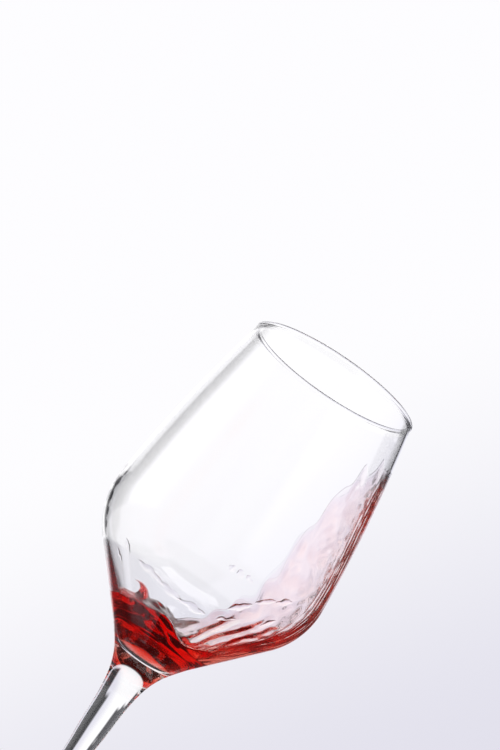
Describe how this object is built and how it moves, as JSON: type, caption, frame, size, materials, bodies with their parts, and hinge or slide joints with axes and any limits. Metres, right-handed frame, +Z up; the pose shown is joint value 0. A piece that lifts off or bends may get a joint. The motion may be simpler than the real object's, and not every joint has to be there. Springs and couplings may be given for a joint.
{
  "type": "glass of red wine",
  "caption": "Tall stemmed wine glass with a tapered bowl and a round foot, holding a little red wine that swirls up one side of the bowl.",
  "frame": {"origin": "centre of the underside of the foot", "axes": "+Z up along the stem to the rim; +X towards the side of the bowl that the wine climbs"},
  "size_m": [0.0918, 0.092, 0.24],
  "materials": {
    "clear_glass": "clear and polished",
    "red_wine": "clear red liquid"
  },
  "bodies": {
    "root": {"glass": "clear_glass", "wine": "red_wine"}
  },
  "joints": []
}
